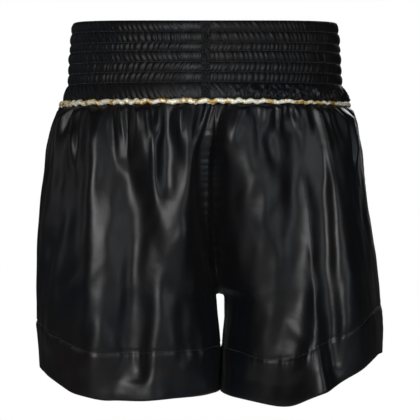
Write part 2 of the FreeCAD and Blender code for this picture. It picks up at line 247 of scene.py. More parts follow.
def thicken(item, thickness, offset=-1.0):
    """Gives a sheet its thickness: offset -1 is all inwards."""
    solid = item.modifiers.new("Thickness", "SOLIDIFY")
    solid.thickness = thickness
    solid.offset = offset
    solid.use_even_offset = False
    return item


def settle(item):
    """Turns the evaluated object into a plain mesh with no modifiers."""
    view = bpy.context.evaluated_depsgraph_get()
    mesh = bpy.data.meshes.new_from_object(item.evaluated_get(view))
    old = item.data
    item.modifiers.clear()
    item.data = mesh
    bpy.data.meshes.remove(old)
    mesh.name = item.name
    return item


def dress(item, material, slot, *nodes):
    """Gives a finished piece its finish, its body and the parts of the frame that it stands for."""
    item.data.materials.clear()
    item.data.materials.append(material)
    item.data.polygons.foreach_set("material_index", [0] * len(item.data.polygons))
    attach(item, "root")
    if nodes:
        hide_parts(*nodes)
    return item


def bumps(points, scale, seed):
    """Smooth noise from -1 to 1 at points, from a few turned waves."""
    random = np.random.default_rng(seed)
    total = np.zeros(len(points))
    for _ in range(9):
        way = random.normal(size=3)
        way /= np.linalg.norm(way)
        turns = points @ way * scale * random.uniform(0.6, 1.5)
        total += np.sin(turns * math.tau + random.uniform(0, math.tau))
    return total / 3.4


# ------------------------------------------------------------------ finishes

class Finish:
    """A material and the few nodes that each finish needs."""

    def __init__(self, name, colour, roughness):
        self.material = bpy.data.materials.new(name)
        self.material.use_nodes = True
        self.tree = self.material.node_tree
        self.shader = self.tree.nodes["Principled BSDF"]
        self.shader.inputs["Base Color"].default_value = (*colour, 1.0)
        self.shader.inputs["Roughness"].default_value = roughness
        self.place = None
        self.relief = None

    def node(self, kind, **values):
        node = self.tree.nodes.new(kind)
        for key, value in values.items():
            if key in node.inputs:
                node.inputs[key].default_value = value
            else:
                setattr(node, key, value)
        return node

    def link(self, source, target):
        self.tree.links.new(source, target)

    def coordinates(self, uv=False):
        """Object coordinates, or the piece's own cloth coordinates."""
        if uv:
            return self.node("ShaderNodeUVMap", uv_map="cloth").outputs["UV"]
        if self.place is None:
            self.place = self.node("ShaderNodeTexCoord").outputs["Object"]
        return self.place

    def noise(self, scale, detail=3.0, uv=False, stretch=(1, 1, 1)):
        turn = self.node("ShaderNodeMapping", Scale=stretch)
        self.link(self.coordinates(uv), turn.inputs["Vector"])
        noise = self.node("ShaderNodeTexNoise", Scale=scale, Detail=detail)
        self.link(turn.outputs["Vector"], noise.inputs["Vector"])
        return noise.outputs["Fac"]

    def lines(self, scale, direction="X", uv=False, distortion=0.0):
        wave = self.node("ShaderNodeTexWave", Scale=scale, Distortion=distortion, bands_direction=direction)
        self.link(self.coordinates(uv), wave.inputs["Vector"])
        return wave.outputs["Fac"]

    def ramp(self, source, target, *stops):
        ramp = self.node("ShaderNodeValToRGB")
        bar = ramp.color_ramp
        while len(bar.elements) < len(stops):
            bar.elements.new(0.5)
        for element, (place, value) in zip(bar.elements, stops):
            element.position = place
            element.color = (*value, 1.0) if hasattr(value, "__len__") else (value, value, value, 1.0)
        self.link(source, ramp.inputs["Fac"])
        self.link(ramp.outputs["Color"], self.shader.inputs[target])
        return ramp

    def raise_by(self, height, distance, strength=1.0):
        """Adds a bump on top of the ones before it."""
        bump = self.node("ShaderNodeBump", Distance=distance, Strength=strength)
        self.link(height, bump.inputs["Height"])
        if self.relief is not None:
            self.link(self.relief, bump.inputs["Normal"])
        self.relief = bump.outputs["Normal"]
        self.link(self.relief, self.shader.inputs["Normal"])


def satin_finish(name, colour, rough=0.39, shine=0.3):
    """Warp-faced satin: long floats give a soft broad shine with a fine grain."""
    finish = Finish(name, colour, rough)
    cool = (colour[0] * 0.9, colour[1] * 1.05, colour[2] * 1.45)
    warm = (colour[0] * 1.6, colour[1] * 1.15, colour[2] * 0.9)
    finish.ramp(finish.noise(11.0, 2.0), "Base Color", (0.35, cool), (0.5, colour), (0.68, warm))
    finish.ramp(finish.noise(26.0, 4.0), "Roughness", (0.3, rough - 0.035), (0.7, rough + 0.05))
    finish.raise_by(finish.noise(55.0, 3.0), 0.0011, 0.35)
    finish.raise_by(finish.noise(900.0, 2.0, uv=True, stretch=(1.0, 0.12, 1.0)), 0.00005, 0.5)
    finish.raise_by(finish.lines(760.0, "DIAGONAL", uv=True), 0.00003, 0.35)
    finish.shader.inputs["Specular IOR Level"].default_value = shine
    finish.shader.inputs["Sheen Weight"].default_value = 0.02
    finish.shader.inputs["Sheen Roughness"].default_value = 0.4
    return finish.material


def gold_finish(colour):
    """Gold cloth: thin metal ribbon woven over cotton, crumpled, with pale patches painted into its colour as
    highlights.
    """
    finish = Finish("gold lame", colour, 0.3)
    pale = (0.98, 0.94, 0.76)
    deep = (colour[0] * 0.55, colour[1] * 0.42, colour[2] * 0.3)
    # Pale patches in the base colour are painted highlights; the deep stop gives darker gold-brown patches.
    painted_highlight_patches = finish.noise(135.0, 3.0)
    finish.ramp(painted_highlight_patches, "Base Color", (0.36, deep), (0.44, colour), (0.50, pale), (0.66, pale))
    finish.ramp(finish.noise(300.0, 2.0), "Roughness", (0.3, 0.28), (0.7, 0.46))
    finish.raise_by(finish.noise(420.0, 4.0), 0.0006, 0.8)
    finish.raise_by(finish.lines(900.0, "DIAGONAL"), 0.0001, 0.6)
    finish.shader.inputs["Metallic"].default_value = 0.35
    return finish.material


def thread_finish(name, colour, rough=0.55):
    """Twisted polyester thread."""
    finish = Finish(name, colour, rough)
    dark = tuple(part * 0.6 for part in colour)
    light = tuple(part * 1.5 for part in colour)
    finish.ramp(finish.noise(700.0, 2.0), "Base Color", (0.35, dark), (0.65, light))
    finish.raise_by(finish.lines(1500.0, "DIAGONAL"), 0.00012, 0.8)
    finish.shader.inputs["Sheen Weight"].default_value = 0.1
    return finish.material


def tape_finish(name, colour, rough=0.8):
    """Woven tape with ribs along it and a slight unevenness."""
    finish = Finish(name, colour, rough)
    shade = tuple(part * 0.82 for part in colour)
    finish.ramp(finish.noise(240.0, 3.0), "Base Color", (0.3, shade), (0.7, colour))
    finish.raise_by(finish.lines(700.0, "Z"), 0.0002, 0.7)
    finish.raise_by(finish.noise(1400.0, 2.0), 0.00012, 0.6)
    finish.shader.inputs["Sheen Weight"].default_value = 0.15
    return finish.material


def overlock_finish(colour):
    """Cloth edge covered with looped thread, lighter along the same waves that raise its loops: a painted
    highlight on their crests.
    """
    finish = Finish("overlocked edge", colour, 0.62)
    light = tuple(part * 2.2 for part in colour)
    # The lighter colour follows the waves that raise the loops: a painted highlight on the raised loops.
    finish.ramp(finish.lines(420.0, "DIAGONAL"), "Base Color", (0.3, colour), (0.8, light))
    finish.raise_by(finish.lines(420.0, "DIAGONAL"), 0.0005, 0.9)
    finish.raise_by(finish.noise(1300.0, 2.0), 0.0002, 0.5)
    return finish.material


FINISHES = {}


def make_finishes(colours):
    """Makes each finish once, for the pieces to share."""
    FINISHES.update(
        satin=satin_finish("black satin", colours.satin),
        band=satin_finish("gathered satin", colours.satin, rough=0.46, shine=0.21),
        lining=satin_finish("satin inner side", tuple(part * 1.25 for part in colours.satin), rough=0.5),
        gold=gold_finish(colours.gold),
        thread=thread_finish("black thread", colours.thread),
        overlock=overlock_finish(colours.thread),
        elastic=tape_finish("elastic tape", colours.elastic),
        cord=tape_finish("cotton cord", (0.70, 0.67, 0.58)),
        label=tape_finish("label tape", colours.label, 0.5),
    )


# ------------------------------------------------------------------ waistband

def back_part(y):
    """1 at the middle of the back, falling to 0 at the side seams."""
    return np.clip(-y / 0.0945, 0, 1) ** 2


def band_place(turn, height, stand, sizes):
    """A point of the waistband: turn goes round it, height is from foot to top, stand is outwards."""
    level = FOOT + height * (BAND[-1, 0] - FOOT)
    wide = np.interp(level, BAND[:, 0], BAND[:, 1])
    deep = np.interp(level, BAND[:, 0], BAND[:, 2])
    x, y = oval_place(turn, wide, deep, stand)
    dip = sizes.back_dip * back_part(y) * np.clip((level - FOOT) / BAND_TALL, 0, 1)
    return np.stack([x, y, level - dip], -1)


def pucker_edges(count, random, spread=0.55):
    """Edges of uneven puckers round the waist, as turns from -pi to pi."""
    steps = 1 + spread * random.uniform(-1, 1, count)
    return np.concatenate([[0], np.cumsum(steps) / steps.sum()]) * math.tau - math.pi


def pucker_wave(turn, edges, heights, sharp=0.75):
    """Rounded puckers with sharp valleys between them, 0 in a valley and 1 on a full pucker."""
    turn = (turn + math.pi) % math.tau - math.pi
    slot = np.clip(np.searchsorted(edges, turn, side="right") - 1, 0, len(edges) - 2)
    part = (turn - edges[slot]) / (edges[slot + 1] - edges[slot])
    return heights[slot] * np.sin(np.pi * part) ** sharp


def uneven_puckers(turn, count, random, spread, low, high, sharp=1.0):
    """Puckers of uneven widths, and of heights between low and high."""
    edges = pucker_edges(count, random, spread)
    return pucker_wave(turn, edges, random.uniform(low, high, count), sharp)


def crowd(turn):
    """Where the puckers crowd: the left of the back is gathered more tightly than its right."""
    return turn + 0.16 * np.sin(turn + 0.5)


def shirring(turn, height, sizes, calm=1.0):
    """How far the gathered cloth stands out at each place of the waistband."""
    random = np.random.default_rng(sizes.seed + 11)
    count = int(ROUND_WAIST / sizes.pucker_pitch)
    base = pucker_edges(count, random)
    lines = stitch_rows(sizes)
    stand = np.zeros_like(turn)
    full = calm * sizes.pucker_depth
    for row in range(len(lines) - 1):
        low, high = lines[row], lines[row + 1]
        inside = (height >= low) & (height <= high)
        part = np.clip((height - low) / (high - low), 0, 1)
        envelope = np.sin(np.pi * part) ** 0.6
        last = row == 0
        heights = random.uniform(0.65, 1.15, count)
        one = math.tau / count
        if last:
            lean = 2.3
        elif row == len(lines) - 2:
            lean = 1.5
        else:
            lean = random.choice([-1, 1]) * random.uniform(0.5, 0.9)
        lean *= one
        shift = random.uniform(-0.5, 0.5) * one
        sway = 0.4 * one * np.sin(5 * turn + random.uniform(0, 6)) * (1 + part)
        place = crowd(turn) + shift + sway + lean * (part - 0.5)
        wave = pucker_wave(place, base, heights)
        if last:
            puffs = int(count * 0.42)
            zigzag = 3.2 * one * np.sin(part * 5.2 + 2.2 * np.sin(turn * 17))
            wide_wave = uneven_puckers(crowd(turn) + zigzag, puffs, random, 0.7, 0.5, 1.3)
            right = np.clip((np.cos(turn) - 0.12) / 0.2, 0, 1) * (np.sin(turn) < 0.2)
            wave = wave * (1 - right) + 1.2 * wide_wave * right
            envelope = envelope * (1 - right) + right * np.sin(np.pi * np.clip(1 - part, 0, 1) ** 1.5) ** 0.5
            full_here = full * (1 + 0.9 * right)
        else:
            full_here = full
        size = (high - low) / 0.13
        stand = np.where(inside, envelope * full_here * (0.30 + wave) * min(size, 1.15), stand)
        pinch = np.where(inside, 0.35 * full * wave * (1 - envelope), 0)
        stand = stand + pinch
    return stand - 0.0011


def stitch_rows(sizes):
    """Heights of the rows of stitches, as parts of the waistband's height, from the foot up."""
    tall = BAND[-1, 0] - FOOT
    rows = [(tall - sizes.channel_pitch * number) / tall for number in range(sizes.channels, 0, -1)]
    shifts = {3: 0.012, 4: -0.012}
    rows = [row + shifts.get(number, 0.0) for number, row in enumerate(rows)]
    return np.array([0.0] + rows + [1.0])


class SHORTS_OT_waistband(bpy.types.Operator):
    """Gathered cover and lining of the waistband, with the lap of its centre back join"""
    bl_idname = "shorts.waistband"
    bl_label = "Waistband"

    def execute(self, context):
        sizes = context.scene.shorts_sizes
        columns = 800
        turn = np.linspace(0, math.tau, columns, endpoint=False)
        lines = stitch_rows(sizes)
        heights = np.concatenate([
            low + (high - low) * (0.5 - 0.5 * np.cos(np.pi * np.linspace(0, 1, 8 if row else 12)[:-1]))
            for row, (low, high) in enumerate(zip(lines[:-1], lines[1:]))
        ] + [[1.0]])
        around, up = np.meshgrid(turn, heights)
        stand = shirring(around, up, sizes)
        points = band_place(around, up, stand, sizes)
        tuck = [band_place(turn, np.zeros(columns), np.full(columns, -inset), sizes) - (0, 0, down)
                for inset, down in ((0.0042, 0.0004), (0.0026, 0.0012))]
        top = [band_place(turn, np.ones(columns), np.full(columns, -inset), sizes) + (0, 0, rise)
               for inset, rise in ((0.0017, 0.0005), (0.0028, 0.0003), (0.0036, -0.0010), (0.0039, -0.0026))]
        points = np.concatenate([np.array(tuck), points, np.array(top)])
        rows = len(points)
        run = np.concatenate([[-0.004, -0.002], heights * BAND_TALL, BAND_TALL + np.arange(1, 5) * 0.0015])
        uv = np.stack(np.broadcast_arrays(turn * TURN_WIDTH, run[:, None]), -1).reshape(-1, 2)
        cover = mesh_object("waistband_gathered_cover", points.reshape(-1, 3),
                            grid_faces(rows, columns, closed=True), uv)
        settle(thicken(cover, sizes.cloth))
        dress(cover, FINISHES["band"], "black_satin", "waistband_cover")

        columns = 520
        turn = np.linspace(0, math.tau, columns, endpoint=False)
        heights = np.linspace(0.0, 1.0, 43)
        around, up = np.meshgrid(turn, heights)
        stand = -(0.0040 + 0.55 * shirring(around + 0.03, up, sizes, 0.7))
        stand = np.where(up > 0.985, -0.0037, stand)
        points = band_place(around, np.minimum(up, 0.982), stand, sizes)
        uv = np.stack([around * TURN_WIDTH, up * BAND_TALL], -1).reshape(-1, 2)
        lining = mesh_object("waistband_inner_side", points.reshape(-1, 3),
                             grid_faces(len(heights), columns, closed=True, flip=True), uv)
        settle(thicken(lining, sizes.cloth))
        dress(lining, FINISHES["lining"], "black_satin", "waistband_lining")

        columns, rows, pinches = 15, 260, 36
        across = np.linspace(-0.0042, 0.0042, columns)
        up = np.linspace(0.004, 0.996, rows)
        turn, height = np.meshgrid(JOIN_TURN + across / JOIN_REACH, up)
        edges = pucker_edges(pinches, np.random.default_rng(sizes.seed), 0.5)
        pinched = pucker_wave(height * math.tau - math.pi, edges, np.full(pinches, 1.0), 1.0)
        groove = np.exp(-((np.abs(across) - 0.0026) / 0.0006) ** 2)
        stand = shirring(turn, height, sizes) * 0.55 + 0.0009 + 0.0006 * pinched - 0.0005 * groove
        stand = np.where(np.abs(across) > 0.0040, stand - 0.0006, stand)
        points = band_place(turn, height, stand, sizes)
        uv = np.stack([(turn - JOIN_TURN) * JOIN_REACH, height * BAND_TALL], -1).reshape(-1, 2)
        lap = mesh_object("waistband_lap", points.reshape(-1, 3), grid_faces(rows, columns), uv)
        settle(thicken(lap, 0.0007))
        dress(lap, FINISHES["band"], "black_satin", "waistband_join")
        return {"FINISHED"}


class SHORTS_OT_elastic(bpy.types.Operator):
    """Rings of ribbed elastic tape inside the channels"""
    bl_idname = "shorts.elastic"
    bl_label = "Elastic tapes"

    def execute(self, context):
        sizes = context.scene.shorts_sizes
        lines = stitch_rows(sizes)[::-1]
        columns = 240
        turn = np.linspace(0, math.tau, columns, endpoint=False)
        for number in range(1, sizes.channels + 1):
            high, low = lines[number - 1] - 0.014, lines[number] + 0.010
            if number == 1:
                high -= 0.022
            loop = [(low, -0.0021), (high, -0.0021), (high + 0.004, -0.0025), (high, -0.0029), (low, -0.0029),
                    (low - 0.004, -0.0025)]
            ribs = 0.00007 * np.sin(turn * 120)
            points = np.array([
                band_place(turn, np.full(columns, height), stand + ribs, sizes) for height, stand in loop
            ])
            tape = mesh_object(f"elastic_ring_{number}", points.reshape(-1, 3), ring_faces(*points.shape[:2]))
            dress(tape, FINISHES["elastic"], "elastic", f"elastic_tape_{number}")
        return {"FINISHED"}


# ------------------------------------------------------------------ stitches and piping

def stitch_tree():
    """Stitches laid end to end along a path: short rounded bars, a little uneven."""
    tree = bpy.data.node_groups.new("rows of stitches", "GeometryNodeTree")
    face = tree.interface
    face.new_socket("Geometry", in_out="INPUT", socket_type="NodeSocketGeometry")
    for name, value in (("Stitch Length", 0.0022), ("Gap", 0.0008), ("Thread", 0.0003)):
        socket = face.new_socket(name, in_out="INPUT", socket_type="NodeSocketFloat")
        socket.default_value = value
    face.new_socket("Finish", in_out="INPUT", socket_type="NodeSocketMaterial")
    seed = face.new_socket("Seed", in_out="INPUT", socket_type="NodeSocketInt")
    seed.default_value = 7
    face.new_socket("Geometry", in_out="OUTPUT", socket_type="NodeSocketGeometry")
    add = tree.nodes.new
    start, end = add("NodeGroupInput"), add("NodeGroupOutput")
    path = add("GeometryNodeMeshToCurve")
    pitch = add("ShaderNodeMath")
    even = add("GeometryNodeResampleCurve")
    even.mode = "LENGTH"
    tangent = add("GeometryNodeInputTangent")
    turn = add("FunctionNodeAlignEulerToVector")
    turn.axis = "Z"
    bar = add("GeometryNodeMeshCylinder")
    bar.inputs["Vertices"].default_value = 6
    bar.fill_type = "NGON"
    uneven = add("FunctionNodeRandomValue")
    uneven.data_type = "FLOAT_VECTOR"
    uneven.inputs["Min"].default_value = (0.85, 0.85, 0.85)
    uneven.inputs["Max"].default_value = (1.15, 1.15, 1.05)
    place = add("GeometryNodeInstanceOnPoints")
    real = add("GeometryNodeRealizeInstances")
    coat = add("GeometryNodeSetMaterial")
    join = tree.links.new
    join(start.outputs["Geometry"], path.inputs["Mesh"])
    join(path.outputs["Curve"], even.inputs["Curve"])
    join(start.outputs["Stitch Length"], pitch.inputs[0])
    join(start.outputs["Gap"], pitch.inputs[1])
    join(pitch.outputs[0], even.inputs["Length"])
    join(even.outputs["Curve"], place.inputs["Points"])
    join(tangent.outputs["Tangent"], turn.inputs["Vector"])
    join(turn.outputs["Rotation"], place.inputs["Rotation"])
    join(start.outputs["Stitch Length"], bar.inputs["Depth"])
    join(start.outputs["Thread"], bar.inputs["Radius"])
    join(bar.outputs["Mesh"], place.inputs["Instance"])
    join(start.outputs["Seed"], uneven.inputs["Seed"])
    join(uneven.outputs["Value"], place.inputs["Scale"])
    join(place.outputs["Instances"], real.inputs["Geometry"])
    join(real.outputs["Geometry"], coat.inputs["Geometry"])
    join(start.outputs["Finish"], coat.inputs["Material"])
    join(coat.outputs["Geometry"], end.inputs["Geometry"])
    return tree


def sew(name, paths, sizes, slot, *nodes, thread=0.00032):
    """Rows of stitches along paths, each a list of points and whether it is closed."""
    tree = bpy.data.node_groups.get("rows of stitches") or stitch_tree()
    points, edges = [], []
    for path, closed in paths:
        first = sum(len(part) for part in points)
        index = np.arange(len(path)) + first
        pairs = np.stack([index, np.roll(index, -1)], -1)
        edges.append(pairs if closed else pairs[:-1])
        points.append(np.asarray(path))
    mesh = bpy.data.meshes.new(name)
    mesh.from_pydata(np.concatenate(points).tolist(), np.concatenate(edges).tolist(), [])
    row = bpy.data.objects.new(name, mesh)
    bpy.context.scene.collection.objects.link(row)
    maker = row.modifiers.new("Stitches", "NODES")
    maker.node_group = tree
    values = {"Stitch Length": sizes.stitch, "Gap": 0.0009, "Thread": thread, "Finish": FINISHES["thread"],
              "Seed": sizes.seed}
    for socket in tree.interface.items_tree:
        if socket.item_type == "SOCKET" and socket.in_out == "INPUT" and socket.name in values:
            maker[socket.identifier] = values[socket.name]
    settle(row)
    row.data.polygons.foreach_set("use_smooth", [True] * len(row.data.polygons))
    return dress(row, FINISHES["thread"], slot, *nodes)


class SHORTS_OT_band_stitches(bpy.types.Operator):
    """Stitches between the elastic channels and beside the join"""
    bl_idname = "shorts.band_stitches"
    bl_label = "Waistband stitches"

    def execute(self, context):
        sizes = context.scene.shorts_sizes
        turn = np.linspace(JOIN_TURN + 0.036, JOIN_TURN + math.tau - 0.036, 1400)
        rows = []
        for height in stitch_rows(sizes)[1:-1]:
            up = np.full_like(turn, height)
            stand = shirring(turn, up, sizes) + 0.0002
            rows.append((band_place(turn, up, stand, sizes), False))
        sew("channel_stitching", rows, sizes, "black_thread", "channel_stitches")
        rows = []
        up = np.linspace(0.01, 0.985, 80)
        for side in (-0.0033, 0.0033):
            turn = np.full_like(up, JOIN_TURN + side / JOIN_REACH)
            rows.append((band_place(turn, up, np.full_like(up, 0.00125), sizes), False))
        sew("join_stitching", rows, sizes, "black_thread", "waistband_join_stitches")
        return {"FINISHED"}


class SHORTS_OT_piping(bpy.types.Operator):
    """Crumpled gold piping round the waist seam"""
    bl_idname = "shorts.piping"
    bl_label = "Gold piping"

    def execute(self, context):
        sizes = context.scene.shorts_sizes
        low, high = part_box("piping_core")
        wide, deep = (high[0] - low[0]) / 2 - PIPING_WRAP, (high[1] - low[1]) / 2 - PIPING_WRAP
        level = (high[2] + low[2]) / 2
        columns, ring = 1500, 12
        turn = np.linspace(0, math.tau, columns, endpoint=False)
        random = np.random.default_rng(sizes.seed + 3)
        count = 150
        folds = pucker_edges(count, random, 0.6)
        heights = random.uniform(-1, 1, count)
        slot = np.clip(np.searchsorted(folds, turn - math.pi, side="right") - 1, 0, count - 1)
        part = (turn - math.pi - folds[slot]) / (folds[slot + 1] - folds[slot])
        fold = heights[slot] * np.sin(np.pi * part)
        thin = np.clip((np.cos(turn) - 0.25) / 0.5, 0, 1) * np.clip(-np.sin(turn) + 0.3, 0, 1)
        around = np.linspace(0, math.tau, ring, endpoint=False)
        points = np.empty((columns, ring, 3))
        twist = np.cumsum(random.normal(0, 0.25, columns))
        twist = twist - np.linspace(0, twist[-1], columns)
        for number, angle in enumerate(around):
            facet = 1 + 0.10 * np.cos(2 * (angle + 2.2 * fold + twist)) + 0.05 * np.cos(3 * angle + 9 * fold)
            radius = sizes.piping * facet * (1 - 0.42 * thin) * (0.86 + 0.16 * np.sin(np.pi * part) ** 0.6)
            out = radius * math.cos(angle) + 0.0004
            rise = radius * math.sin(angle)
            sway = 0.0006 * np.sin(turn * 61 + 3 * np.sin(turn * 9))
            points[:, number, 0], points[:, number, 1] = oval_place(turn, wide, deep, out)
            points[:, number, 2] = level + rise + sway + 0.0005 * fold
        cord = mesh_object("gold_piping", points.reshape(-1, 3), ring_faces(columns, ring, flip=True))
        dress(cord, FINISHES["gold"], "gold_lame", "piping_cover")
        core_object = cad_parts["piping_core"]
        core_object.data.materials.clear()
        core_object.data.materials.append(FINISHES["cord"])
        return {"FINISHED"}


# ------------------------------------------------------------------ legs

def leg_size(level, column):
    """A measure of the legs at a height, on a smooth curve through the profile."""
    levels, values = LEGS[:, 0], LEGS[:, column]
    slopes = np.gradient(values, levels)
    level = np.clip(level, levels[0], levels[-1])
    k = np.clip(np.searchsorted(levels, level) - 1, 0, len(levels) - 2)
    step = levels[k + 1] - levels[k]
    t = (level - levels[k]) / step
    return ((2 * t ** 3 - 3 * t ** 2 + 1) * values[k] + (t ** 3 - 2 * t ** 2 + t) * step * slopes[k]
            + (3 * t ** 2 - 2 * t ** 3) * values[k + 1] + (t ** 3 - t ** 2) * step * slopes[k + 1])


def leg_oval(side, level, pinch):
    """Half width, middle and half depth of one leg's oval."""
    reach = leg_size(level, 1 if side < 0 else 2)
    wide = (reach - side * SEAM) / (1 + pinch)
    return wide, side * (reach - wide), leg_size(level, 3)


def leg_place(side, level, part):
    """A point on one leg's mean surface: part goes from the centre front seam round to the back one."""
    pinch = leg_size(level, 4)
    pinch = np.where(level <= CROTCH + 1e-6, np.maximum(pinch, 1.0), np.minimum(pinch, 1.0))
    wide, middle, deep = leg_oval(side, level, pinch)
    first = np.arccos(np.minimum(pinch, 1.0))
    turn = first + part * (math.tau - 2 * first)
    return middle - side * wide * np.cos(turn), deep * np.sin(turn)


def leg_net(side):
    """Points of one leg's net before it drapes, as rows by columns."""
    row, column = np.meshgrid(np.arange(ROWS + 1), np.arange(COLUMNS + 1), indexing="ij")
    fork = (FOOT - CROTCH) / (FOOT - HEM_MIDDLE)
    down = np.where(row <= FORK_ROW, fork * row / FORK_ROW,
                    fork + (1 - fork) * (row - FORK_ROW) / (ROWS - FORK_ROW))
    part = column / COLUMNS
    seam = (column == 0) | (column == COLUMNS)
    level = FOOT + down * (HEM_MIDDLE - FOOT)
    for _ in range(5):
        x, _ = leg_place(side, level, part)
        hem = np.interp(x, HEMS[side][:, 0], HEMS[side][:, 1])
        level = FOOT + down * (np.where(seam & (row <= FORK_ROW), HEM_MIDDLE, hem) - FOOT)
    x, y = leg_place(side, level, part)
    x = np.where(seam & (row == FORK_ROW), SEAM, x)
    y = np.where(seam & (row >= FORK_ROW), 0.0, y)
    return np.stack([x, y, level], -1)


def sewn_net():
    """Both legs sewn together: points, faces, and each leg's table of point numbers."""
    nets = {side: leg_net(side) for side in (-1, 1)}
    size = nets[1][..., 0].size
    table = {-1: np.arange(size).reshape(ROWS + 1, -1), 1: np.arange(size).reshape(ROWS + 1, -1) + size}
    left, right = table[-1], table[1]
    target = np.arange(2 * size)
    for leg in (left, right):
        target[leg[FORK_ROW:, -1]] = leg[FORK_ROW:, 0]
    target[right[:FORK_ROW, 0]] = left[:FORK_ROW, 0]
    target[right[:FORK_ROW, -1]] = left[:FORK_ROW, -1]
    target[[right[FORK_ROW, 0], right[FORK_ROW, -1], left[FORK_ROW, -1]]] = left[FORK_ROW, 0]
    kept, number = np.unique(target, return_inverse=True)
    points = np.concatenate([nets[-1].reshape(-1, 3), nets[1].reshape(-1, 3)])[kept]
    table = {side: number[leg] for side, leg in table.items()}
    quads = []
    for side, leg in table.items():
        faces = np.stack([leg[:-1, :-1], leg[:-1, 1:], leg[1:, 1:], leg[1:, :-1]], -1).reshape(-1, 4)
        quads.append(faces[:, ::-1] if side < 0 else faces)
    return points, np.concatenate(quads), table


def soft_fold(x, level, folds):
    """Height of the soft folds over the mean surface, faded out at each fold's ends."""
    total = np.zeros_like(x)
    for width, height, *points in folds:
        ends = np.array(points) * MM
        best = np.full(x.shape, 9.0)
        along = np.zeros(x.shape)
        run = 0.0
        for first, second in zip(ends[:-1], ends[1:]):
            way = second - first
            length = np.hypot(*way)
            part = np.clip(((x - first[0]) * way[0] + (level - first[1]) * way[1]) / length ** 2, 0, 1)
            away = np.hypot(x - first[0] - part * way[0], level - first[1] - part * way[1])
            along = np.where(away < best, run + part * length, along)
            best = np.minimum(best, away)
            run += length
        ease = min(max(1.5 * width * MM, 0.022), 0.045)
        fade = np.clip(np.minimum(along, run - along) / ease + 0.25, 0, 1)
        total += height * MM * fade ** 2 * (3 - 2 * fade) * np.exp(-(best / (width * MM)) ** 2)
    return total


def front_folds(folds):
    """The front hangs like the back, with its folds moved a little."""
    moved = []
    for number, (width, height, *points) in enumerate(folds):
        shift = 7 * math.sin(number * 2.1)
        moved.append((width * 1.1, height, *[(-x * 0.96 + 10 + shift, z - 5) for x, z in points]))
    return moved


def relief(x, y, level, folds, front):
    """Folds of the back and of the front, each on its own side."""
    share = 1 / (1 + np.exp(np.clip(y / 0.012, -30, 30)))
    return soft_fold(x, level, folds) * share + soft_fold(x, level, front) * (1 - share)


def body_relief(x, y, level):
    """All the soft folds, over the mean surface."""
    return relief(x, y, level, FOLDS, front_folds(FOLDS))


def smooth_part(x, y):
    """1 where the back of the right leg hangs smooth, 0 elsewhere."""
    return np.exp(-((x - 0.088) / 0.034) ** 4) * (y < 0)


def small_creases(random, count):
    """Short shallow creases that lean a little, most of them near the waist."""
    creases = []
    for _ in range(count):
        x, level = random.uniform(-172, 178), -50 - 270 * random.random() ** 1.3
        reach, lean = random.uniform(8, 30), random.uniform(-0.9, 0.9)
        height = random.choice([-1, 1]) * random.uniform(0.3, 0.8)
        ends = [(x + lean * reach * step + random.uniform(-3, 3), level - reach * step)
                for step in (-1, 0, 1)]
        creases.append((random.uniform(3.5, 8), height, *ends))
    return creases


def body_form(side, inset):
    """A padded form inside one leg, for the cloth to fall on."""
    levels = np.linspace(-0.036, -0.352, 90)
    level, turn = np.meshgrid(levels, np.linspace(0, math.tau, 160, endpoint=False), indexing="ij")
    wide, middle, deep = leg_oval(side, level, leg_size(level, 4))
    x, y = middle - side * wide * np.cos(turn), deep * np.sin(turn)
    below = FOOT - level
    stand = body_relief(x, y, level) * np.clip(below / 0.03, 0, 1) - inset * np.clip(0.3 + below / 0.05, 0, 1)
    nx, ny = -side * np.cos(turn) / wide, np.sin(turn) / deep
    size = np.hypot(nx, ny)
    points = np.stack([x + stand * nx / size, y + stand * ny / size, level], -1)
    form = mesh_object("form", points.reshape(-1, 3), grid_faces(90, 160, closed=True, flip=side < 0))
    form.modifiers.new("Collision", "COLLISION")
    form.collision.thickness_outer = 0.001
    form.collision.thickness_inner = 0.02
    form.collision.cloth_friction = 5.0
    return form


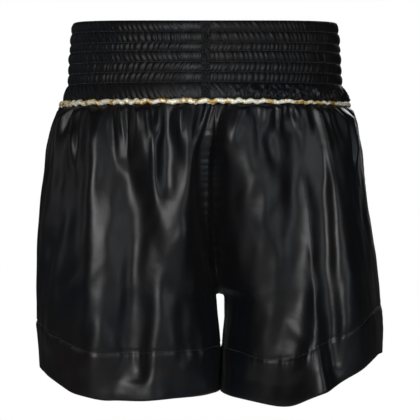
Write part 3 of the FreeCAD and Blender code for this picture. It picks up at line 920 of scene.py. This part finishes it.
def drape(sizes):
    """Sews, gathers and drops the cloth. Gives the points of each leg, as rows by columns."""
    points, quads, table = sewn_net()
    blank = bpy.data.meshes.new("net")
    blank.from_pydata(points.tolist(), [], quads.tolist())
    out = np.empty(points.size)
    blank.vertex_normals.foreach_get("vector", out)
    normals = out.reshape(-1, 3)
    bpy.data.meshes.remove(blank)
    x, y, level = points.T
    below = FOOT - level
    waist = np.empty(len(points))
    for side, leg in table.items():
        top = points[leg[0]]
        waist[leg] = np.arctan2(top[:, 1] / WAIST_FLATNESS, top[:, 0])[None, :]
    random = np.random.default_rng(sizes.seed)
    small = uneven_puckers(waist, 62, random, 0.5, 0.5, 1.5)
    large = uneven_puckers(waist, 27, random, 0.45, 0.4, 1.5, 1.2)
    clear = np.clip(np.hypot(x - SEAM, level - CROTCH) / 0.03, 0, 1)
    calmer = 1 - 0.75 * smooth_part(x, y)
    stand = (small - 0.5) * 0.0060 * np.exp(-((below - 0.007) / 0.022) ** 2)
    stand += (large - 0.5) * 0.0100 * calmer * np.clip(below / 0.025, 0, 1) * np.exp(-(below / 0.062) ** 2)
    stand = stand * clear + 0.8 * body_relief(x, y, level)
    start = points + normals * stand[:, None]
    fullness = np.interp(-level, [0.0395, 0.07, 0.11, 0.16, 0.24, 0.34], [
        sizes.fullness_waist, sizes.fullness_waist - 0.07, 1.05, 1.03, 1.025, sizes.fullness_hem,
    ])
    cut = points.copy()
    cut[:, 0] = SEAM + (x - SEAM) * fullness
    cut[:, 1] = y * fullness
    cloth = mesh_object("cloth", start, quads)
    cloth.shape_key_add(name="Basis")
    pattern = cloth.shape_key_add(name="cut")
    pattern.data.foreach_set("co", cut.ravel())
    pattern.value = 0.0
    pins = cloth.vertex_groups.new(name="waist seam")
    pins.add(np.unique(np.concatenate([leg[0] for leg in table.values()])).tolist(), 1.0, "REPLACE")
    forms = [body_form(side, 0.006) for side in (-1, 1)]
    drop = cloth.modifiers.new("Cloth", "CLOTH")
    stuff = drop.settings
    stuff.quality = 5
    stuff.mass = 0.15
    stuff.air_damping = 1.0
    stuff.tension_stiffness = stuff.compression_stiffness = 25
    stuff.shear_stiffness = 8
    stuff.bending_stiffness = 8
    stuff.tension_damping = stuff.compression_damping = stuff.shear_damping = 8
    stuff.bending_damping = 0.6
    stuff.vertex_group_mass = "waist seam"
    stuff.rest_shape_key = pattern
    touch = drop.collision_settings
    touch.distance_min = 0.001
    touch.collision_quality = 2
    scene = bpy.context.scene
    frames = sizes.frames
    scene.frame_start = drop.point_cache.frame_start = 1
    scene.frame_end = drop.point_cache.frame_end = frames
    for number in range(1, frames + 1):
        scene.frame_set(number)
    view = bpy.context.evaluated_depsgraph_get()
    draped = bpy.data.meshes.new_from_object(cloth.evaluated_get(view))
    out = np.empty(points.size)
    draped.vertices.foreach_get("co", out)
    places = out.reshape(-1, 3)
    for item in [cloth] + forms:
        bpy.data.objects.remove(item)
    scene.frame_set(1)
    return {side: places[leg] for side, leg in table.items()}


def between(net, finer):
    """A finer net through the same points, along smooth curves both ways."""
    for axis in (0, 1):
        net = np.moveaxis(net, axis, 0)
        before = np.concatenate([2 * net[:1] - net[1:2], net[:-1]])
        after = np.concatenate([net[2:], 2 * net[-1:] - net[-2:-1]])
        parts = []
        for step in range(finer):
            t = step / finer
            p0, p1, p2, p3 = before[:-1], net[:-1], net[1:], after
            parts.append(0.5 * (2 * p1 + (p2 - p0) * t + (2 * p0 - 5 * p1 + 4 * p2 - p3) * t ** 2
                                + (3 * p1 - p0 - 3 * p2 + p3) * t ** 3))
        joined = np.stack(parts, 1).reshape((-1,) + net.shape[1:])
        net = np.moveaxis(np.concatenate([joined, net[-1:]]), 0, axis)
    return net


def smooth_net(net):
    """Eases the smallest creases out of the draped cloth, but keeps its edges."""
    below = np.clip((FOOT - net[..., 2]) / 0.02, 0, 1)
    column = np.arange(COLUMNS + 1)
    from_seam = np.minimum(column, COLUMNS - column)[None, :]
    from_fork = np.abs(np.arange(ROWS + 1) - FORK_ROW)[:, None]
    below = (below * np.clip(np.hypot(from_seam / 3, from_fork / 2) - 0.6, 0, 1))[:, :, None]
    calm_weight = below * smooth_part(net[..., 0], net[..., 1])[:, :, None]
    for number in range(14):
        below = below if number < 4 else calm_weight
        eased = net.copy()
        eased[:, 1:-1] = (net[:, :-2] + 2 * net[:, 1:-1] + net[:, 2:]) / 4
        calm = eased.copy()
        calm[1:-1] = (eased[:-2] + 2 * eased[1:-1] + eased[2:]) / 4
        net = net * (1 - below) + calm * below
    return net


def net_normals(net, side):
    """Outward directions of a leg's net."""
    down = np.gradient(net, axis=0)
    along = np.gradient(net, axis=1)
    across = np.cross(down, along) * (1 if side < 0 else -1)
    return across / np.maximum(np.linalg.norm(across, axis=-1, keepdims=True), 1e-9)


def close_gap(nets):
    """Leans the inner sides of the legs together, to the narrow gap between them."""
    levels = np.array([-0.345, -0.288, -0.278, -0.256, -0.233, -0.2245])
    middles = np.array([0.0155, 0.0155, 0.0160, 0.0160, 0.0150, 0.0120])
    gaps = np.array([0.0001, 0.0001, 0.0015, 0.0062, 0.0085, 0.0])
    for side, net in nets.items():
        inner = SEAM_COLUMNS
        for row in net[FORK_ROW:]:
            near = np.concatenate([row[:inner], row[-inner:]])
            edge = (near[:, 0] * -side).max() * -side
            level = near[:, 2].mean()
            aim = np.interp(level, levels, middles) + side * np.interp(level, levels, gaps) / 2
            row[:, 0] += (aim - edge) * np.exp(-((row[:, 0] - edge) / 0.034) ** 2)


def bow_back_seam(nets):
    """Lets the centre back seam hang a little to the left of straight."""
    for net in nets.values():
        x, y, level = net[..., 0], net[..., 1], net[..., 2]
        share = np.clip((level - CROTCH) / (FOOT - CROTCH), 0, 1)
        net[..., 0] -= 0.008 * np.sin(np.pi * share) * np.exp(-((x - SEAM) / 0.03) ** 2) * (y < 0)


def hem_rows(net):
    """How far above the hem each point is, along the cloth."""
    steps = np.linalg.norm(np.diff(net, axis=0), axis=-1)
    rise = np.zeros(net.shape[:2])
    rise[:-1] = np.cumsum(steps[::-1], axis=0)[::-1]
    return rise


def finish_net(net, side, sizes):
    """Adds what the drape leaves out: gathers, deeper valleys, small creases, the hem's groove and the
    seams' puckers."""
    random = np.random.default_rng(sizes.seed + 40 + side)
    net = between(net, FINER)
    out = net_normals(net, side)
    rows, columns = net.shape[:2]
    below = FOOT - net[..., 2]
    rise = hem_rows(net)
    part = np.linspace(0, 1, columns)[None, :] * np.ones((rows, 1))
    waist = np.arctan2(net[:1, :, 1] / WAIST_FLATNESS, net[:1, :, 0]) * np.ones((rows, 1))
    tiny = uneven_puckers(waist + 0.012 * np.sin(below * 90), 118, random, 0.5, 0.2, 1.3, 1.2)
    stand = (tiny - 0.4) * 0.0013 * np.exp(-(below / 0.012) ** 2)
    calm = 1 - 0.8 * smooth_part(net[..., 0], net[..., 1]) * np.clip((below - 0.018) / 0.02, 0, 1)
    gathers = ((76, 0.0026, 0.006, 0.024, 1.2), (43, 0.0036, 0.026, 0.034, -1.6))
    for pleats, height, middle, fade, lean in gathers:
        slant = waist + lean * below * np.sin(4 * waist + pleats)
        pleat = uneven_puckers(slant, pleats, random, 0.6, 0.0, 1.5, 1.3)
        stand += (pleat - 0.35) * height * calm * np.exp(-((below - middle) / fade) ** 2)
    line = rise - sizes.hem_depth
    patch = np.clip(0.5 + 0.9 * np.sin(part * 31 + side) * np.sin(part * 13 + 2), 0, 1)
    pull = uneven_puckers(part * math.tau - math.pi + 0.004 * np.sin(line * 200), 96, random, 0.6, 0.1, 1.4)
    stand += -0.0009 * np.exp(-(line / 0.0016) ** 2)
    stand += (pull - 0.5) * 0.0012 * patch * np.exp(-((line + 0.003) / 0.006) ** 2)
    stand += 0.0006 * (line < 0)
    for place, reach, height in ((0.0, 0.010, 0.0005), (1.0, 0.012, 0.0007), (0.5, 0.006, 0.00015)):
        beside = np.abs(part - place) * 0.64
        seat = np.clip((net[..., 2] - CROTCH - 0.005) / 0.02, 0 if place != 0.5 else 1, 1)
        ripple = np.sin(net[..., 2] * math.tau / 0.0072 + 2.5 * np.sin(net[..., 2] * 120 + 7 * place))
        free = np.clip((below - 0.02) / 0.02, 0, 1)
        stand += height * (ripple - 0.7) * np.exp(-(beside / reach) ** 2) * free * seat
        stand += -height * np.exp(-(beside / 0.0018) ** 2)
    free = np.clip(below / 0.03, 0, 1) * np.clip(rise / 0.02, 0.3, 1)
    for pitch, height in ((20.0, 0.0011), (52.0, 0.0004)):
        soft = bumps(net.reshape(-1, 3) * (1.0, 1.0, 0.6), pitch, sizes.seed + 90).reshape(rows, columns)
        stand += height * soft * free
    valleys = [fold for fold in FOLDS if fold[1] < 0]
    stand += 0.62 * relief(net[..., 0], net[..., 1], net[..., 2], valleys, front_folds(valleys)) * free
    small = np.random.default_rng(sizes.seed + 60)
    back, front = small_creases(small, 48), small_creases(small, 60)
    stand += relief(net[..., 0], net[..., 1], net[..., 2], back, front) * free
    return behind_piping(net + out * stand[..., None])


def behind_piping(net):
    """Draws the gathered edge in, so that it comes out from under the piping."""
    low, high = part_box("piping_core")
    wide, deep = (high[0] - low[0]) / 2 - PIPING_WRAP, (high[1] - low[1]) / 2 - PIPING_WRAP
    reach = np.hypot(net[..., 0] / wide, net[..., 1] / deep)
    away = np.hypot(net[..., 0], net[..., 1]) / reach
    below = (high[2] + low[2]) / 2 - net[..., 2]
    allowed = -0.0014 + 1.4 * np.clip(below - 0.0010, 0, 1)
    limit = 1 + allowed / away
    share = np.where((reach > limit) & (below < 0.02), limit / reach, 1.0)
    net[..., :2] *= share[..., None]
    return net


class SHORTS_OT_drape(bpy.types.Operator):
    """Sews the four panels, gathers them at the waist and lets them fall"""
    bl_idname = "shorts.drape"
    bl_label = "Drape the legs"

    def execute(self, context):
        sizes = context.scene.shorts_sizes
        nets = drape(sizes)
        nets = {side: smooth_net(net) for side, net in nets.items()}
        close_gap(nets)
        bow_back_seam(nets)
        for side, net in nets.items():
            LEG_NETS[side] = finish_net(net, side, sizes)
        middle = FORK_ROW * FINER
        for seam in (0, -1):
            mean = (LEG_NETS[-1][:middle, seam] + LEG_NETS[1][:middle, seam]) / 2
            LEG_NETS[-1][:middle, seam] = LEG_NETS[1][:middle, seam] = mean
        for net in LEG_NETS.values():
            mean = (net[middle + 1:, 0] + net[middle + 1:, -1]) / 2
            net[middle + 1:, 0] = net[middle + 1:, -1] = mean
        fork = np.mean([net[middle, seam] for net in LEG_NETS.values() for seam in (0, -1)], axis=0)
        for net in LEG_NETS.values():
            net[middle, 0] = net[middle, -1] = fork
        return {"FINISHED"}


def cloth_piece(name, net, side, thickness):
    """A piece of cloth from part of a leg's net."""
    rows, columns = net.shape[:2]
    u = np.linspace(0, 1, columns)[None, :] * columns * CLOTH_STEP
    v = np.linspace(0, 1, rows)[:, None] * rows * CLOTH_STEP
    uv = np.stack(np.broadcast_arrays(u, v), -1).reshape(-1, 2)
    faces = grid_faces(rows, columns, flip=side < 0)
    return settle(thicken(mesh_object(name, net.reshape(-1, 3), faces, uv), thickness))


class SHORTS_OT_panels(bpy.types.Operator):
    """Back and front satin panels of each leg, with the edge of the hem rolled under"""
    bl_idname = "shorts.panels"
    bl_label = "Leg panels"

    def execute(self, context):
        sizes = context.scene.shorts_sizes
        for side, word in ((-1, "left"), (1, "right")):
            net = LEG_NETS[side]
            out = net_normals(net, side)
            roll = [net[-1] - out[-1] * 0.0007 - (0, 0, 0.0005), net[-1] - out[-1] * 0.0015 + (0, 0, 0.0004)]
            tuck = net[0] - out[0] * (1, 1, 0) * 0.0004 + (0, 0, 0.0022)
            net = np.concatenate([[tuck], net, np.array(roll)])
            half = (net.shape[1] - 1) // 2
            for half_word, part in (("front", net[:, :half + 1]), ("back", net[:, half:])):
                panel = cloth_piece(f"{word}_{half_word}_satin", part, side, sizes.cloth)
                dress(panel, FINISHES["satin"], "black_satin", f"{word}_{half_word}_panel")
        return {"FINISHED"}


class SHORTS_OT_hems(bpy.types.Operator):
    """Turned-up inner layer of each hem, and its stitches"""
    bl_idname = "shorts.hems"
    bl_label = "Hems"

    def execute(self, context):
        sizes = context.scene.shorts_sizes
        for side, word in ((-1, "left"), (1, "right")):
            net = LEG_NETS[side]
            out = net_normals(net, side)
            rise = hem_rows(net)
            tall = sizes.hem_depth + 0.001
            levels = np.linspace(tall, 0.0006, 24)
            columns = net.shape[1]
            facing = np.empty((len(levels), columns, 3))
            line = np.empty((columns, 3))
            for column in range(columns):
                order = rise[::-1, column]
                for axis in range(3):
                    inner = net[::-1, column, axis] - 0.0014 * out[::-1, column, axis]
                    outer = net[::-1, column, axis] + 0.00025 * out[::-1, column, axis]
                    facing[:, column, axis] = np.interp(levels, order, inner)
                    line[column, axis] = np.interp(sizes.hem_depth, order, outer)
            piece = cloth_piece(f"{word}_hem_inner", facing, side, sizes.cloth)
            dress(piece, FINISHES["lining"], "black_satin", f"{word}_hem_facing")
            sew(f"{word}_hem_stitching", [(line, False)], sizes, "black_thread", f"{word}_hem_stitches",
                thread=0.00026)
        return {"FINISHED"}


class SHORTS_OT_seams(bpy.types.Operator):
    """Overlocked seam allowances inside, and the blank care label"""
    bl_idname = "shorts.seams"
    bl_label = "Seams and label"

    def strip(self, name, net, out, side, depth=0.0011, thickness=0.0009):
        rows = net.shape[0]
        ripple = 0.0003 * np.sin(np.arange(rows) * 0.9)[:, None, None]
        return cloth_piece(name, net - out * (depth + ripple), side, thickness)

    def join(self, items, name):
        """Joins pieces of one seam into one object."""
        with bpy.context.temp_override(active_object=items[0], selected_editable_objects=items):
            bpy.ops.object.join()
        items[0].name = items[0].data.name = name
        return items[0]

    def execute(self, context):
        sizes = context.scene.shorts_sizes
        fork = FORK_ROW * FINER
        waist, fronts, backs = [], [], []
        for side, word in ((-1, "left"), (1, "right")):
            net = LEG_NETS[side]
            out = net_normals(net, side)
            rows = int(np.argmax(net[:, 40, 2] < FOOT - 0.0105))
            waist.append(self.strip("edge", net[:rows], out[:rows], side))
            low = rows + 2
            fronts.append(self.strip("edge", net[low:fork, :4], out[low:fork, :4], side))
            backs.append(self.strip("edge", net[low:fork, -4:], out[low:fork, -4:], side))
            half = (net.shape[1] - 1) // 2
            end = int(np.argmax(hem_rows(net)[:, half] < sizes.hem_depth + 0.003))
            cut = slice(half - 2, half + 3)
            strip = self.strip(f"{word}_side_overlock", net[low:end, cut], out[low:end, cut], side)
            dress(strip, FINISHES["overlock"], "overlock", f"{word}_side_seam")
            end = int(np.argmax(hem_rows(net)[:, 0] < sizes.hem_depth + 0.003))
            pieces = [self.strip("edge", net[fork + 3:end, cut], out[fork + 3:end, cut], side)
                      for cut in (slice(0, 3), slice(-3, None))]
            strip = self.join(pieces, f"{word}_inseam_overlock")
            dress(strip, FINISHES["overlock"], "overlock", f"{word}_inseam")
        for pieces, name, node in ((waist, "waist_seam_overlock", "waist_seam_allowance"),
                                   (fronts, "centre_front_overlock", "centre_front_seam"),
                                   (backs, "centre_back_overlock", "centre_back_seam")):
            dress(self.join(pieces, name), FINISHES["overlock"], "overlock", node)

        low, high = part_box("care_label")
        across, down = np.meshgrid(np.linspace(low[0], high[0], 17), np.linspace(high[2], low[2], 21))
        part = (high[2] - down) / (high[2] - low[2])
        curl = 0.0022 * part ** 2 + 0.0007 * np.sin((across - low[0]) / (high[0] - low[0]) * math.pi) * part
        points = np.stack([across, low[1] + curl + 0.0004 * np.sin(part * 5), down], -1)
        tag = mesh_object("blank_label", points.reshape(-1, 3), grid_faces(21, 17, flip=True))
        settle(thicken(tag, 0.0003, 0.0))
        dress(tag, FINISHES["label"], "white_tape", "care_label")
        return {"FINISHED"}


# ------------------------------------------------------------------ stage

def soft_light(name, place, aim, wide, tall, power, colour=(1, 1, 1)):
    """A soft box that faces its aim."""
    lamp = bpy.data.lights.new(name, "AREA")
    lamp.shape = "RECTANGLE"
    lamp.size, lamp.size_y, lamp.energy, lamp.color = wide, tall, power, colour
    item = bpy.data.objects.new(name, lamp)
    item.location = place
    item.rotation_euler = (Vector(aim) - Vector(place)).to_track_quat("-Z", "Y").to_euler()
    bpy.context.scene.collection.objects.link(item)


class SHORTS_OT_stage(bpy.types.Operator):
    """Camera, soft boxes, white surround and pale floor"""
    bl_idname = "shorts.stage"
    bl_label = "Stage"

    def execute(self, context):
        scene = context.scene
        away, field = 2.5, 0.42
        lens = bpy.data.cameras.new("camera")
        lens.sensor_width = 36
        lens.lens = lens.sensor_width * away / field
        camera = bpy.data.objects.new("camera", lens)
        camera.location = (0.005, -away, -0.1465)
        camera.rotation_euler = (math.pi / 2, 0, 0)
        scene.collection.objects.link(camera)
        scene.camera = camera

        soft_light("key", (-0.50, -2.6, 0.32), (0, 0, -0.16), 0.8, 0.9, 43)
        soft_light("fill", (1.7, -1.9, 0.2), (0, 0, -0.15), 0.6, 1.2, 11, (0.86, 0.93, 1.0))
        soft_light("far side", (0.6, 2.4, 0.8), (0, 0, -0.16), 1.4, 1.4, 30)
        soft_light("left side", (-2.4, 0.3, 0.5), (0, 0, -0.15), 0.9, 1.3, 3)

        world = bpy.data.worlds.new("surround")
        scene.world = world
        world.use_nodes = True
        tree = world.node_tree
        tree.nodes.clear()
        out = tree.nodes.new("ShaderNodeOutputWorld")
        # White where the camera sees it, dim for the light that falls on the cloth.
        seen = tree.nodes.new("ShaderNodeLightPath")
        dim = tree.nodes.new("ShaderNodeBackground")
        white = tree.nodes.new("ShaderNodeBackground")
        mix = tree.nodes.new("ShaderNodeMixShader")
        dim.inputs["Strength"].default_value = 0.012
        white.inputs["Color"].default_value = (1, 1, 1, 1)
        dim.inputs["Color"].default_value = (0.9, 0.95, 1, 1)
        tree.links.new(seen.outputs["Is Camera Ray"], mix.inputs["Fac"])
        tree.links.new(dim.outputs["Background"], mix.inputs[1])
        tree.links.new(white.outputs["Background"], mix.inputs[2])
        tree.links.new(mix.outputs["Shader"], out.inputs["Surface"])

        pale = tuple(scene.shorts_colours.floor)
        finish = Finish("floor", pale, 0.7)
        shade = tuple(part * 0.96 for part in pale)
        finish.ramp(finish.noise(3.0, 2.0), "Base Color", (0.3, shade), (0.7, pale))
        # The floor glows for the camera only, so it stays pale and sends no light up into the cloth.
        glow = finish.tree.nodes.new("ShaderNodeMath")
        glow.operation = "MULTIPLY"
        glow.inputs[1].default_value = 0.72
        seen = finish.tree.nodes.new("ShaderNodeLightPath")
        finish.tree.links.new(seen.outputs["Is Camera Ray"], glow.inputs[0])
        finish.tree.links.new(glow.outputs[0], finish.shader.inputs["Emission Strength"])
        finish.shader.inputs["Emission Color"].default_value = (1, 1, 1, 1)
        level, reach = CAD_BOX[0][2] - 0.9, 6
        corners = [(x * reach, y * reach, level) for x, y in ((-1, -1), (1, -1), (1, 1), (-1, 1))]
        floor = mesh_object("floor", corners, [(0, 1, 2, 3)])
        floor.data.materials.append(finish.material)
        scene.view_settings.view_transform = "Standard"
        return {"FINISHED"}


# ------------------------------------------------------------------ panel and making

OPERATORS = (
    SHORTS_OT_waistband, SHORTS_OT_elastic, SHORTS_OT_band_stitches, SHORTS_OT_piping, SHORTS_OT_drape,
    SHORTS_OT_panels, SHORTS_OT_hems, SHORTS_OT_seams, SHORTS_OT_stage,
)


class SHORTS_PT_make(bpy.types.Panel):
    """Sizes and pieces of the shorts"""
    bl_idname = "SHORTS_PT_make"
    bl_label = "Boxing Shorts"
    bl_space_type = "VIEW_3D"
    bl_region_type = "UI"
    bl_category = "Shorts"

    def draw(self, context):
        column = self.layout.column()
        for group in (context.scene.shorts_sizes, context.scene.shorts_colours):
            for name in group.__annotations__:
                column.prop(group, name)
        for operator in OPERATORS:
            column.operator(operator.bl_idname)


CLASSES = (ShortsSizes, ShortsColours) + OPERATORS + (SHORTS_PT_make,)


def register():
    for item in CLASSES:
        bpy.utils.register_class(item)
    bpy.types.Scene.shorts_sizes = bpy.props.PointerProperty(type=ShortsSizes)
    bpy.types.Scene.shorts_colours = bpy.props.PointerProperty(type=ShortsColours)


def unregister():
    del bpy.types.Scene.shorts_sizes
    del bpy.types.Scene.shorts_colours
    for item in reversed(CLASSES):
        bpy.utils.unregister_class(item)


def main():
    register()
    make_finishes(bpy.context.scene.shorts_colours)
    bpy.ops.shorts.stage()
    bpy.ops.shorts.waistband()
    bpy.ops.shorts.elastic()
    bpy.ops.shorts.band_stitches()
    bpy.ops.shorts.piping()
    bpy.ops.shorts.drape()
    bpy.ops.shorts.panels()
    bpy.ops.shorts.hems()
    bpy.ops.shorts.seams()


if __name__ == "__main__":
    main()
